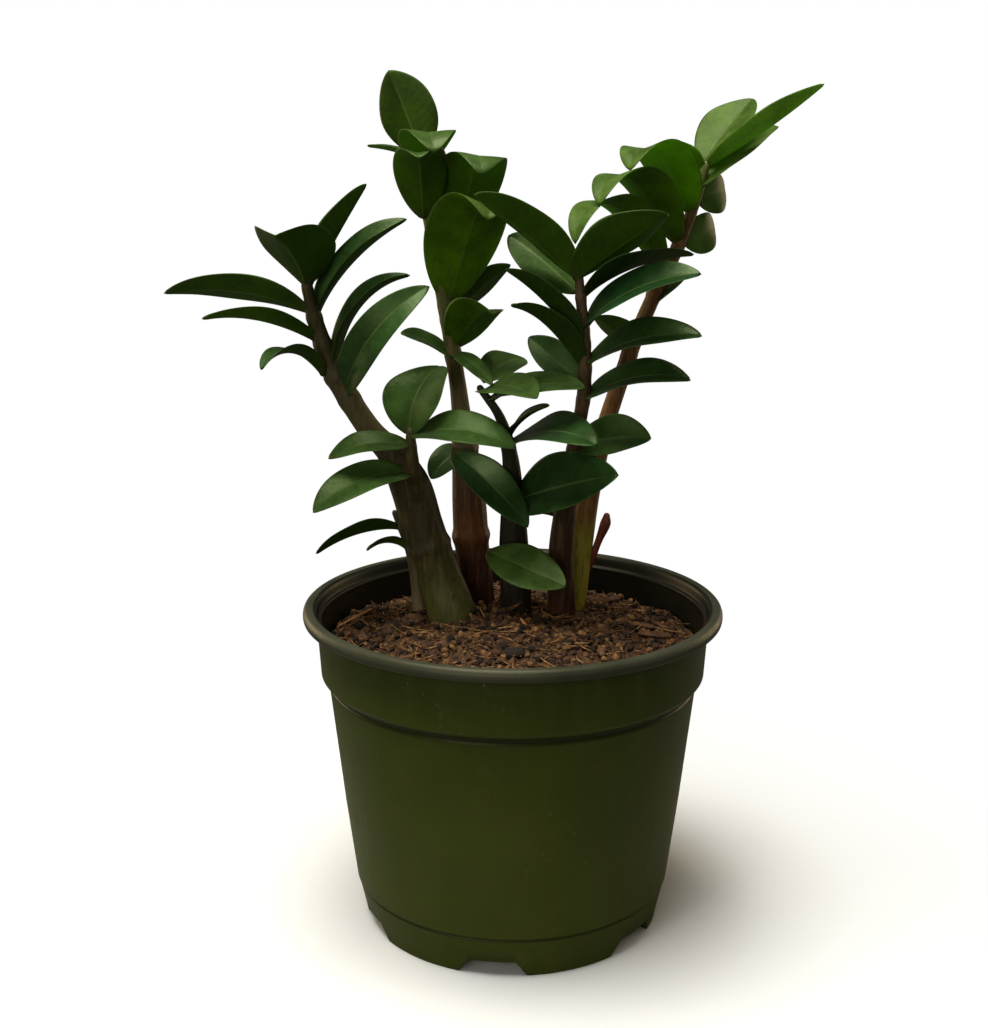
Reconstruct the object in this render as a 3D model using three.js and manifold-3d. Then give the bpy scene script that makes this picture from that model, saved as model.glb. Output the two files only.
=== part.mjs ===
// A potted ZZ plant: a green nursery pot, potting soil, six fronds, a side shoot and their leaves.
// Millimetres, +Z up, +Y away from the front. Lengths below are from the pot's axis at its foot.
import * as THREE from "three";
import Module from "manifold-3d";

const wasm = await Module();
wasm.setup();

// ---- driving dimensions ----
const POT_HEIGHT = 130;
const LIP_RADIUS = 82.5;
const LIP_HEIGHT = 5;
const WALL = 1.6;
const LIP_EDGE = 1.2;
const LIP_INNER_EDGE = 5.4;
const POT_SIDES = 48;
const COLLAR_BOTTOM = 103;
const COLLAR_RADIUS = 75.6;
const COLLAR_TOP_RADIUS = 77.2;
const SHOULDER = 101;
const SHOULDER_RADIUS = 73.8;
const BODY_TOP = 99.5;
const BODY_TOP_RADIUS = 73;
const BODY_MIDDLE = 50;
const BODY_MIDDLE_RADIUS = 67.6;
const BODY_BOTTOM = 17;
const BODY_BOTTOM_RADIUS = 63.5;
const FOOT_TOP = 5;
const FOOT_TOP_RADIUS = 60.4;
const FOOT_RADIUS = 59.4;
const FOOT_RING = 4;
const LEDGE = 13.8;
const LEDGE_RADIUS = 62.4;
const LEDGE_TOP = 15.6;
const FLOOR_UNDERSIDE = 2.5;
const FLOOR_TOP = 4.3;
const NOTCH_COUNT = 6;
const NOTCH_START = 263;
const NOTCH_HEIGHT = 6.5;
const NOTCH_FOOT_WIDTH = 28;
const NOTCH_TOP_WIDTH = 18;
const NOTCH_DEPTH = 9;
const SOIL_LEVEL = 116;
const SOIL_MOUND = 5;
const SOIL_SIDES = 48;
const GAP = 0.3;
const STEM_SIDES = 10;
const STEM_STEPS = 2;
const LEAF_ROWS = 7;
const LEAF_COLUMNS = 4;
const LEAF_THICKNESS = 1.1;

// ---- stems: x, y, z, radius along the centre line, from inside the soil to the top ----
const STEMS = {
  left_stem: [
    [-21, 14, 104, 9],
    [-24, 14, 118, 10],
    [-29.5, 16, 135, 8.6],
    [-36, 16, 155, 8.4],
    [-41, 15, 173, 8],
    [-48, 12, 187, 5.6],
    [-57, 10, 198, 4.7],
    [-69, 7, 219, 4.1],
    [-75, 4, 238, 3],
    [-78, 0, 254, 1.8],
  ],
  short_left_stem: [
    [-38, 15, 160, 5],
    [-39.5, 9, 174, 3.8],
    [-39.5, 4, 186, 2.8],
    [-39.5, 0, 198, 1.4],
  ],
  thin_left_stem: [
    [-39, 24, 106, 2.4],
    [-39, 24, 124, 2.6],
    [-42, 24, 143, 1.9],
    [-48, 23, 160, 1.2],
  ],
  centre_stem: [
    [-13, 32, 104, 6],
    [-14, 31.5, 122, 6.4],
    [-17, 30, 146, 7],
    [-18, 29, 165, 6.8],
    [-19.5, 28, 186, 5],
    [-22, 27, 210, 3.4],
    [-26, 26, 238, 2.9],
    [-31, 26, 264, 2.4],
    [-34, 27, 284, 2],
    [-37, 28, 306, 1.1],
  ],
  middle_stem: [
    [2, 20, 106, 6],
    [1.5, 20, 124, 6.3],
    [0.5, 19, 146, 6],
    [0, 17, 166, 4.6],
    [-1, 14, 185, 3.2],
    [-5, 12, 201, 2],
    [-13, 12, 213, 1.2],
  ],
  right_centre_stem: [
    [20, 20, 104, 5.2],
    [20, 19, 122, 5.6],
    [19.5, 16, 146, 5],
    [21.5, 12, 168, 4.2],
    [24, 6, 190, 3],
    [27, 0, 212, 2.6],
    [27, -4, 231, 2.3],
    [25.5, -7, 246, 2],
    [24, -9, 259, 1.4],
  ],
  right_stem: [
    [24.5, 31, 104, 5],
    [25.5, 31, 122, 5.3],
    [27.8, 31, 143, 5.2],
    [30.8, 33, 164, 4.8],
    [36.2, 36, 187, 4],
    [41, 39, 203, 3.5],
    [48, 42, 224, 3.3],
    [56, 45, 243, 3],
    [64, 48, 259, 2.7],
    [72, 50, 279, 2.2],
    [77.5, 50, 298, 1.4],
  ],
};

// ---- leaves: height of the foot, tip x y z, way the upper face looks x y z, width,
// ---- bend and how late it comes, fold of each half in degrees, step of the foot off the stem x y z
const LEAVES = {
  left_stem: [
    [253, -84.5, -30, 273.5, 0.15, 0.9, 0.8, 35, 40, 1, 33],
    [252, -55, 5, 291, -0.8, 0.3, 0.6, 19, 5, 1, 40],
    [241, -40, 5, 278, -0.6, -0.4, 0.6, 18, 42, 1, 40],
    [219, -39, 5, 257, -0.7, -0.3, 0.6, 15, 75, 1.6, 40],
    [209, -31, -8, 254, -0.35, -1, 0.35, 17, 88, 1.5, 20, -1, 0, 1],
    [242, -131, -5, 251, 0, 1, 1, 16, 50, 1, 20],
    [231, -114, -20, 243, 0, 0.3, 1, 14, 38, 1.5, 35],
    [218, -92, -25, 225, 0.2, 0.6, 1, 12, 98, 1.2, 25, -4, -3, 0],
  ],
  short_left_stem: [
    [196, -28, 15, 221, -0.7, -0.8, 0.4, 31, 75, 1, 15],
    [196, 1, -15, 194, 0.1, -0.6, 1, 20, 60, 1.3, 15],
    [192, -71, -5, 188, -0.1, -0.5, 1, 15, 50, 1.3, 15],
    [180, -76, -15, 169, -0.1, -0.6, 1, 19, 60, 1.3, 15],
  ],
  thin_left_stem: [
    [154, -79, 10, 146, 0, 0.6, 1, 16, 40, 1, 20],
  ],
  centre_stem: [
    [305, -48, 28, 333, 0.3, 1, 0.3, 25, 6, 1, 15, 1, 0, -3.5],
    [295, -29, -7, 302, -0.2, 1, 1, 22, 110, 1.8, 10],
    [277, -34.3, -10, 300, -0.1, 1, 1, 22, 95, 2.4, 20, -1.8, -4.8, 0],
    [271, -12, -8, 294, -0.04, 1, 0.9, 25.5, 132, 2.6, 6, 11.2, 3.8, 1],
    [243, -9.5, -13, 278, -0.1, 1, 1, 32, 130, 2.8, 18, 1, 0, 0],
    [225, -8, 0, 243, 0, 1, 1, 22, 75, 2, 25],
    [222, -44, 15, 234, 0, -0.5, 1, 14, 30, 1, 15],
    [224, -8, 5, 215, 0, -0.5, 1, 9, 30, 1, 15],
    [238, -1, 36, 259, 0, 1, 1, 14, 30, 1, 15, 2, 2, 0],
    [186, -33, 19, 175, 0, -0.6, 1, 14, 50, 1, 15],
    [186, 6, -5, 161, 0.3, -0.8, 0.6, 18, 30, 1, 15, -5, -8, 0],
    [150, 21, -8, 138, 0, -0.7, 0.7, 20, 0, 1, 15, 7, -20, -3],
  ],
  middle_stem: [
    [211, 9, -20, 214, 0, -0.6, 1, 20, 40, 1, 15],
    [208, 27, -15, 217, 0, -0.6, 1, 16, 40, 1, 15],
    [190, 31, -25, 197, 0, -0.6, 1, 24, 50, 2, 15],
    [166, 40, -15, 184, 0, -0.9, 0.7, 28, 20, 1, 20],
    [213, 4, 32, 222, 0, -0.5, 1, 18, 40, 1, 15, 1, 2, 2],
  ],
  right_centre_stem: [
    [256, -14, -30, 288, 0.4, 0.8, 0.7, 21, 15, 1.3, 35],
    [250, -2, 5, 272, -0.2, -0.7, 0.7, 20, 20, 1, 20, -1, 2, 1],
    [232, -3, -17, 261, 0.3, 0.4, 1, 16, 25, 1.5, 35, -1, -2, 0],
    [222, -1, -20, 248, 0.3, 0.4, 1, 16, 45, 2.5, 35],
    [215, 6, 12, 233, 0, -1, 0.5, 14, 30, 1, 15],
    [258, 55, -25, 281, -0.3, 0.8, 0.8, 26, 12, 1, 25, -2, 0, -2],
    [250, 66, -13, 266, -0.2, 0.2, 1, 22, 40, 1, 25],
    [238, 67, -28, 260, -0.2, -0.6, 1, 21, 48, 1, 22],
    [224, 69, -20, 237, -0.1, -0.5, 1, 21, 45, 1.3, 20],
    [210, 66, -15, 220, -0.1, -0.5, 1, 19, 55, 1.5, 20],
    [190, 53, -4, 196, 0, -0.8, 0.8, 21, 40, 1, 25, 1, 2, 0],
  ],
  right_stem: [
    [297, 119, 30, 328, -0.3, 0.5, 1, 17, -12, 1, 40],
    [297, 98, 68, 324, -0.3, -0.6, 1, 24, 10, 1, 20, -1, 4, 1],
    [288, 108, 64, 313, -0.3, -0.5, 1, 21, 30, 1, 20],
    [278, 44, 13.5, 295.5, 0.5, 0.9, 0.9, 25, 122, 2.4, 14],
    [265, 32, 2, 283, 0.5, 0.9, 0.9, 23, 118, 2.3, 14],
    [254, 23, -2, 269, 0.5, 0.9, 0.9, 20, 130, 1.9, 14],
    [283, 87, 66, 288, 1, -1, 0.1, 16, 50, 1.6, 15],
    [267, 83, 64, 273, 1, -1, 0.1, 17, 50, 1.6, 15],
    [222, 32, 20, 240, 0.3, 0.7, 0.8, 16, 40, 1, 20],
  ],
};

// Small leaves that grow out of their stem in one piece with it.
const SMALL_LEAVES = {
  thin_left_stem: [[144, -59, 15, 146, 0, 0.6, 1, 8, 90, 1, 20]],
  centre_stem: [[300, -58, 40, 305, 0, 0, 1, 9, 20, 1, 20]],
  middle_stem: [[192, 14, -5, 209, 0, -0.5, 1, 9, 40, 1, 20]],
  right_centre_stem: [[160, 5, 31, 158, 0, 0.3, 1, 9, 30, 1, 20]],
  right_stem: [
    [296, 62, 52, 307, 0.3, 0.5, 1, 10, 20, 1, 20],
    [240, 75, 60, 256, -0.3, -0.5, 1, 14, 40, 1, 20],
  ],
};

const STUB = [
  [29.5, 31, 130, 1.3],
  [32.5, 30.5, 138, 1.5],
  [35.5, 29.5, 147, 1.5],
  [38, 29, 154, 2.1],
  [38.6, 29, 157.5, 1.3],
];

// Catmull-Rom curve through rows of numbers: the row at place t along them.
function rowAt(rows, t) {
  const last = rows.length - 1;
  const place = Math.min(Math.max(t, 0), 1) * last;
  const i = Math.min(Math.floor(place), last - 1);
  const f = place - i;
  const b = rows[i];
  const c = rows[i + 1];
  const a = rows[i - 1] || b.map((v, k) => 2 * v - c[k]);
  const d = rows[i + 2] || c.map((v, k) => 2 * v - b[k]);
  return b.map((v, k) => {
    const slope = (c[k] - a[k]) * f;
    const second = (2 * a[k] - 5 * v + 4 * c[k] - d[k]) * f * f;
    const third = (3 * v - a[k] - 3 * c[k] + d[k]) * f * f * f;
    return v + 0.5 * (slope + second + third);
  });
}

// Place along a stem where it reaches a height.
function placeAtHeight(rows, height) {
  let t = 0;
  while (t < 1 && rowAt(rows, t)[2] < height) {
    t += 0.005;
  }
  return t;
}

function meshOf(positions, index) {
  const geometry = new THREE.BufferGeometry();
  geometry.setAttribute("position", new THREE.Float32BufferAttribute(positions, 3));
  geometry.setIndex(index);
  return geometry;
}

function solidOf(geometry) {
  const mesh = new wasm.Mesh({
    numProp: 3,
    vertProperties: new Float32Array(geometry.attributes.position.array),
    triVerts: new Uint32Array(geometry.index.array),
  });
  return new wasm.Manifold(mesh);
}

function geometryOf(solid) {
  const mesh = solid.getMesh();
  const positions = [];
  for (let i = 0; i < mesh.numVert; i++) {
    const at = i * mesh.numProp;
    positions.push(...mesh.vertProperties.subarray(at, at + 3));
  }
  return meshOf(positions, Array.from(mesh.triVerts));
}

function biggestPart(solid) {
  const parts = solid.decompose();
  parts.sort((a, b) => b.volume() - a.volume());
  return parts[0];
}

// ---- pot ----
function turned(profile, sides) {
  const points = profile.map(([r, z]) => new THREE.Vector2(r, z));
  const lathe = new THREE.LatheGeometry(points, sides);
  lathe.rotateX(Math.PI / 2);
  return lathe;
}

function indexed(geometry) {
  if (geometry.index) {
    return geometry;
  }
  const order = Array.from({ length: geometry.attributes.position.count }, (_, i) => i);
  geometry.setIndex(order);
  return geometry;
}

// Welds a geometry into one closed index, facing out, and makes a solid of it.
function weldedSolid(geometry) {
  const source = geometry.attributes.position;
  const order = indexed(geometry).index.array;
  const keys = new Map();
  const positions = [];
  const renamed = [];
  for (let i = 0; i < source.count; i++) {
    const exact = [source.getX(i), source.getY(i), source.getZ(i)];
    const p = exact.map((v) => Math.round(v * 1e4) / 1e4 + 0);
    const key = p.join(",");
    if (!keys.has(key)) {
      keys.set(key, positions.length / 3);
      positions.push(...p);
    }
    renamed.push(keys.get(key));
  }
  const index = [];
  for (let i = 0; i < order.length; i += 3) {
    const [a, b, c] = [renamed[order[i]], renamed[order[i + 1]], renamed[order[i + 2]]];
    if (a !== b && b !== c && c !== a) {
      index.push(a, b, c);
    }
  }
  const solid = solidOf(meshOf(positions, index));
  if (solid.volume() > 0) {
    return solid;
  }
  for (let i = 0; i < index.length; i += 3) {
    [index[i + 1], index[i + 2]] = [index[i + 2], index[i + 1]];
  }
  return solidOf(meshOf(positions, index));
}

const INNER_WALL = [
  [FOOT_RADIUS - WALL, FLOOR_TOP],
  [FOOT_TOP_RADIUS - WALL, FOOT_TOP + 1],
  [BODY_BOTTOM_RADIUS - WALL, BODY_BOTTOM],
  [BODY_TOP_RADIUS - WALL, BODY_TOP],
  [COLLAR_RADIUS - WALL, COLLAR_BOTTOM + 0.5],
  [COLLAR_RADIUS + 1.2 - WALL, POT_HEIGHT - LIP_HEIGHT],
];

function notch() {
  const half = NOTCH_FOOT_WIDTH / 2;
  const top = NOTCH_TOP_WIDTH / 2;
  const shape = new THREE.Shape();
  shape.moveTo(-half, -1);
  shape.lineTo(half, -1);
  shape.lineTo(top, NOTCH_HEIGHT);
  shape.lineTo(-top, NOTCH_HEIGHT);
  shape.closePath();
  const block = new THREE.ExtrudeGeometry(shape, { depth: NOTCH_DEPTH + 8, bevelEnabled: false });
  block.rotateX(Math.PI / 2);
  block.rotateZ(Math.PI / 2);
  block.translate(FOOT_RADIUS - NOTCH_DEPTH, 0, 0);
  return block;
}

function pot() {
  const profile = [
    [0, FLOOR_UNDERSIDE],
    [FOOT_RADIUS - FOOT_RING - 1, FLOOR_UNDERSIDE],
    [FOOT_RADIUS - FOOT_RING, 0],
    [FOOT_RADIUS, 0],
    [FOOT_TOP_RADIUS, FOOT_TOP],
    [LEDGE_RADIUS, LEDGE],
    [BODY_BOTTOM_RADIUS - 0.3, LEDGE_TOP],
    [BODY_BOTTOM_RADIUS, BODY_BOTTOM],
    [BODY_MIDDLE_RADIUS, BODY_MIDDLE],
    [BODY_TOP_RADIUS, BODY_TOP],
    [SHOULDER_RADIUS, SHOULDER],
    [COLLAR_RADIUS - 0.5, COLLAR_BOTTOM - 1],
    [COLLAR_RADIUS, COLLAR_BOTTOM],
    [COLLAR_TOP_RADIUS, POT_HEIGHT - LIP_HEIGHT],
    [LIP_RADIUS - LIP_EDGE, POT_HEIGHT - LIP_HEIGHT],
    [LIP_RADIUS, POT_HEIGHT - LIP_HEIGHT + LIP_EDGE],
    [LIP_RADIUS, POT_HEIGHT - LIP_EDGE],
    [LIP_RADIUS - LIP_EDGE, POT_HEIGHT],
    [LIP_RADIUS - 4, POT_HEIGHT - 0.2],
    [LIP_RADIUS - LIP_INNER_EDGE, POT_HEIGHT - 1.6],
    ...INNER_WALL.slice().reverse(),
    [0, FLOOR_TOP],
  ];
  let solid = weldedSolid(turned(profile, POT_SIDES));
  for (let i = 0; i < NOTCH_COUNT; i++) {
    const block = notch();
    block.rotateZ(((NOTCH_START + (360 / NOTCH_COUNT) * i) * Math.PI) / 180);
    solid = solid.subtract(weldedSolid(block));
  }
  return solid;
}

// ---- stems ----
function tube(rows, extra = 0) {
  const count = (rows.length - 1) * STEM_STEPS;
  const positions = [];
  const index = [];
  const side = new THREE.Vector3(0, 1, 0);
  for (let i = 0; i <= count; i++) {
    const t = i / count;
    const [x, y, z, radius] = rowAt(rows, t);
    const ahead = rowAt(rows, Math.min(t + 0.01, 1));
    const behind = rowAt(rows, Math.max(t - 0.01, 0));
    const along = new THREE.Vector3(ahead[0] - behind[0], ahead[1] - behind[1], ahead[2] - behind[2]);
    along.normalize();
    const across = new THREE.Vector3().crossVectors(side, along).normalize();
    const other = new THREE.Vector3().crossVectors(along, across);
    const shift = i === 0 ? -extra : 0;
    for (let k = 0; k < STEM_SIDES; k++) {
      const angle = (2 * Math.PI * k) / STEM_SIDES;
      const p = new THREE.Vector3(x, y, z + shift);
      p.addScaledVector(across, (radius + extra) * Math.cos(angle));
      p.addScaledVector(other, (radius + extra) * Math.sin(angle));
      positions.push(p.x, p.y, p.z);
    }
  }
  for (let i = 0; i < count; i++) {
    for (let k = 0; k < STEM_SIDES; k++) {
      const a = i * STEM_SIDES + k;
      const b = i * STEM_SIDES + ((k + 1) % STEM_SIDES);
      index.push(a, b, b + STEM_SIDES, a, b + STEM_SIDES, a + STEM_SIDES);
    }
  }
  const top = count * STEM_SIDES;
  for (let k = 1; k < STEM_SIDES - 1; k++) {
    index.push(0, k + 1, k, top, top + k, top + k + 1);
  }
  return solidOf(meshOf(positions, index));
}

// ---- soil ----
function soil(stems) {
  const profile = [[0, FLOOR_TOP + GAP]];
  INNER_WALL.slice(0, 5).forEach(([r, z]) => profile.push([r - GAP, z + GAP]));
  profile.push([COLLAR_RADIUS - WALL, SOIL_LEVEL - 2]);
  profile.push([60, SOIL_LEVEL]);
  profile.push([40, SOIL_LEVEL + 0.5 * SOIL_MOUND]);
  profile.push([0, SOIL_LEVEL + SOIL_MOUND]);
  let solid = weldedSolid(turned(profile, SOIL_SIDES));
  stems.forEach((rows) => {
    solid = solid.subtract(tube(rows, GAP));
  });
  return biggestPart(solid);
}

// ---- leaves ----
// The centre line of a blade in its own plane: distance out and height over the base, as shares of
// its length, turned and scaled so that it ends at distance 1.
function bladeLine(bend, late, steps) {
  const total = (bend * Math.PI) / 180;
  const line = [[0, 0]];
  const fine = 12;
  let x = 0;
  let y = 0;
  for (let i = 0; i < steps; i++) {
    for (let k = 0; k < fine; k++) {
      const v = (i + (k + 0.5) / fine) / steps;
      const angle = -total * Math.pow(v, late);
      x += Math.cos(angle) / (steps * fine);
      y += Math.sin(angle) / (steps * fine);
    }
    line.push([x, y]);
  }
  const turn = Math.atan2(y, x);
  const length = Math.hypot(x, y);
  return line.map(([a, b]) => [
    (a * Math.cos(turn) + b * Math.sin(turn)) / length,
    (b * Math.cos(turn) - a * Math.sin(turn)) / length,
  ]);
}

// Share of the half width at v along the blade: narrow at the base, widest before the middle.
function bladeWidth(v) {
  return Math.pow(v, 0.7) * Math.pow(1 - v, 0.75) * 2.73;
}

function leaf(stem, row, extra = 0) {
  const [height, tipX, tipY, tipZ, faceX, faceY, faceZ, width, bend, late, fold] = row;
  const [stepX = 0, stepY = 0, stepZ = 0] = row.slice(11);
  const foot = rowAt(stem, placeAtHeight(stem, height));
  const base = new THREE.Vector3(foot[0] + stepX, foot[1] + stepY, foot[2] + stepZ);
  const tip = new THREE.Vector3(tipX, tipY, tipZ);
  const chord = tip.clone().sub(base);
  const reach = chord.length();
  chord.normalize();
  const face = new THREE.Vector3(faceX, faceY, faceZ);
  face.addScaledVector(chord, -face.dot(chord)).normalize();
  const across = new THREE.Vector3().crossVectors(chord, face);
  const line = bladeLine(bend, late, LEAF_ROWS);
  const tilt = (fold * Math.PI) / 180;
  const positions = [];
  const index = [];
  const columns = LEAF_COLUMNS;
  const place = (i, u, lift) => {
    const [out, up] = line[i];
    const before = line[Math.max(i - 1, 0)];
    const after = line[Math.min(i + 1, LEAF_ROWS)];
    const slope = Math.atan2(after[1] - before[1], after[0] - before[0]);
    const normal = face.clone().multiplyScalar(Math.cos(slope)).addScaledVector(chord, -Math.sin(slope));
    const half = (bladeWidth(i / LEAF_ROWS) * width) / 2 + extra;
    const rise = half * Math.sin(tilt) * (Math.sqrt(u * u + 0.04) - 0.2) + lift;
    const p = base.clone();
    p.addScaledVector(chord, out * reach);
    p.addScaledVector(face, up * reach);
    p.addScaledVector(across, half * Math.cos(tilt) * u);
    p.addScaledVector(normal, rise);
    return p;
  };
  const start = place(0, 0, 0);
  positions.push(start.x, start.y, start.z);
  const ring = 2 * columns;
  for (let i = 1; i < LEAF_ROWS; i++) {
    for (let j = 0; j < ring; j++) {
      const upper = j <= columns;
      const u = upper ? (2 * j) / columns - 1 : 1 - (2 * (j - columns)) / columns;
      const thick = (LEAF_THICKNESS / 2 + extra) * (1 - u * u * 0.999);
      const p = place(i, u, upper ? thick : -thick);
      positions.push(p.x, p.y, p.z);
    }
  }
  const end = place(LEAF_ROWS, 0, 0);
  const last = positions.length / 3;
  positions.push(end.x, end.y, end.z);
  for (let j = 0; j < ring; j++) {
    const next = (j + 1) % ring;
    index.push(0, 1 + next, 1 + j);
    index.push(last, last - ring + j, last - ring + next);
    for (let i = 0; i < LEAF_ROWS - 2; i++) {
      const a = 1 + i * ring;
      index.push(a + j, a + ring + next, a + ring + j, a + j, a + next, a + ring + next);
    }
  }
  return solidOf(meshOf(positions, index));
}

// ---- finishes ----
function potPlastic() {
  return new THREE.MeshStandardMaterial({ color: "#2f3a1b", roughness: 0.45, metalness: 0 });
}

function dampSoil() {
  return new THREE.MeshStandardMaterial({ color: "#2e2018", roughness: 0.95, metalness: 0 });
}

const STEM_COLOURS = {
  left_stem: "#5c5634",
  short_left_stem: "#54482c",
  thin_left_stem: "#6c6040",
  centre_stem: "#5e4a2e",
  middle_stem: "#3c3220",
  right_centre_stem: "#4a3e2a",
  right_stem: "#6a5230",
  cut_stub: "#642c24",
};

function stemSkin(name) {
  return new THREE.MeshStandardMaterial({ color: STEM_COLOURS[name], roughness: 0.6, metalness: 0 });
}

const LEAF_COLOURS = {
  left_stem: "#2e4a1e",
  short_left_stem: "#44682c",
  thin_left_stem: "#2e4a1e",
  centre_stem: "#2c5016",
  middle_stem: "#2c4a22",
  right_centre_stem: "#28441c",
  right_stem: "#486e28",
};

function leafSkin(frond) {
  return new THREE.MeshStandardMaterial({ color: LEAF_COLOURS[frond], roughness: 0.35, metalness: 0 });
}

// ---- assembly ----
const group = new THREE.Group();

function add(name, solid, material) {
  const mesh = new THREE.Mesh(geometryOf(solid), material);
  mesh.name = name;
  group.add(mesh);
}

add("nursery_pot", pot(), potPlastic());
const { short_left_stem: sideShoot, ...ownStems } = STEMS;
add("potting_soil", soil(Object.values(ownStems)), dampSoil());
Object.entries(STEMS).forEach(([name, rows]) => {
  let solid = tube(rows);
  if (name === "short_left_stem") {
    solid = biggestPart(solid.subtract(tube(STEMS.left_stem, GAP)));
  }
  (SMALL_LEAVES[name] || []).forEach((row) => {
    solid = solid.add(leaf(rows, row));
  });
  add(name, biggestPart(solid), stemSkin(name));
});
add("cut_stub", biggestPart(tube(STUB).subtract(tube(STEMS.right_stem, GAP))), stemSkin("cut_stub"));
Object.entries(LEAVES).forEach(([frond, rows]) => {
  const stem = STEMS[frond];
  rows.forEach((row, i) => {
    const solid = leaf(stem, row).subtract(tube(stem, GAP));
    add(frond.replace("stem", "leaf") + "_" + (i + 1), biggestPart(solid), leafSkin(frond));
  });
});

// The origin is the middle of the whole plant's footprint, at the foot of the pot.
const whole = new THREE.Box3().setFromObject(group);
const middle = whole.getCenter(new THREE.Vector3());
group.position.set(-middle.x, -middle.y, 0);

export default group;
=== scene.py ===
"""A potted ZZ plant: a green nursery pot, rough potting mix, six fronds, a side shoot and a dry stub.

Lengths in the tables are millimetres from the pot's axis at the foot of the pot.
"""

import bmesh
import bpy
import numpy as np
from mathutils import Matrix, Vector


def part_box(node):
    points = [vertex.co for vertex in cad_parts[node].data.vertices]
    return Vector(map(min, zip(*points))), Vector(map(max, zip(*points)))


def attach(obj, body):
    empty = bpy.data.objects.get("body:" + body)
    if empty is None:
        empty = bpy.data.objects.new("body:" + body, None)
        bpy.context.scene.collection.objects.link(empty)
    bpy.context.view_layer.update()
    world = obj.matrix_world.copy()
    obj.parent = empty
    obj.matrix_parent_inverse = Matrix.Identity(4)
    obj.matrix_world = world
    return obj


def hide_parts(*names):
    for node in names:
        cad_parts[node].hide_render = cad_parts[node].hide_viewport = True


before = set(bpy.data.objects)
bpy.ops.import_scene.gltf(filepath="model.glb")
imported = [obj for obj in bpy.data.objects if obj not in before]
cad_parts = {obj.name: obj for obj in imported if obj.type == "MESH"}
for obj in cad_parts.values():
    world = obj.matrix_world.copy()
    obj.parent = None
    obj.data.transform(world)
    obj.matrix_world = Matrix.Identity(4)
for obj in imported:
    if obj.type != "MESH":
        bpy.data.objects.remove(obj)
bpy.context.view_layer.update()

# ---------------------------------------------------------------------------------------------
# Nursery pot
# A thin moulded plastic pot, olive green outside and black inside, with a rolled grey-green lip,
# a collar, a step at the foot and six drain notches. It stands loose on its foot ring.
# ---------------------------------------------------------------------------------------------
pot_low, pot_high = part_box("nursery_pot")
POT_AXIS = np.array([(pot_low.x + pot_high.x) / 2, (pot_low.y + pot_high.y) / 2, 0])
POT_HEIGHT = (pot_high.z - pot_low.z) * 1000
LIP_RADIUS = (pot_high.x - pot_low.x) * 500
POT_OUTSIDE = [
    (0, 2.5), (54.4, 2.5), (55.4, 0), (59.4, 0), (60.4, 5), (62.4, 13.8), (62.9, 15.9), (62.6, 16.6),
    (63.5, 17.4), (67.6, 50), (72.9, 98.6), (72.4, 99.4), (73.2, 100.8), (74.8, 102.2), (75.9, 103.3),
    (77.2, 124.4), (78.2, 125), (81.6, 125.1),
]
POT_LIP = [
    (LIP_RADIUS - 0.2, 125.7), (LIP_RADIUS, 126.6), (LIP_RADIUS, 127.8), (LIP_RADIUS - 0.4, 129),
    (LIP_RADIUS - 1.2, 129.8), (LIP_RADIUS - 2.4, POT_HEIGHT), (LIP_RADIUS - 3.8, 129.8),
    (LIP_RADIUS - 4.8, 129.2), (LIP_RADIUS - 5.3, 128.3),
]
POT_INSIDE = [
    (76.5, 125.6), (75.2, 124.9), (75.3, 123.5), (74, 103.5), (71.3, 99.3), (61.9, 17), (58.8, 6),
    (57.8, 4.3), (0, 4.3),
]


def in_metres(points):
    """Millimetres from the pot's axis become metres in the frame: divided by 1000 and moved by it."""
    return np.asarray(points, float) * 0.001 + POT_AXIS


def softened(profile, radius=0.35):
    """Rounds a profile's corners: each corner becomes five points, two back along the way in,
    one between the corner and the middle of its chord, and two along the way out."""
    points = np.asarray(profile, float)
    kept = [points[:1]]
    for before, corner, after in zip(points, points[1:], points[2:]):
        come, leave = before - corner, after - corner
        near = min(radius, np.hypot(*come) / 4.2, np.hypot(*leave) / 4.2)
        come, leave = come / np.hypot(*come) * near, leave / np.hypot(*leave) * near
        middle = corner + (come + leave) * 0.28
        kept.append([corner + 2 * come, corner + come, middle, corner + leave, corner + 2 * leave])
    kept.append(points[-1:])
    return np.vstack(kept)


def turned(profile, around):
    """Turns a profile of radius and height about the axis: x = r cos a, y = r sin a."""
    angle = np.linspace(0, 2 * np.pi, around, endpoint=False)
    radius, height = np.asarray(profile, float).T
    ring = np.stack([np.cos(angle), np.sin(angle)], -1)
    flat = radius[:, None, None] * ring
    up = np.broadcast_to(height[:, None, None], flat.shape[:2] + (1,))
    return np.concatenate([flat, up], -1)


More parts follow.
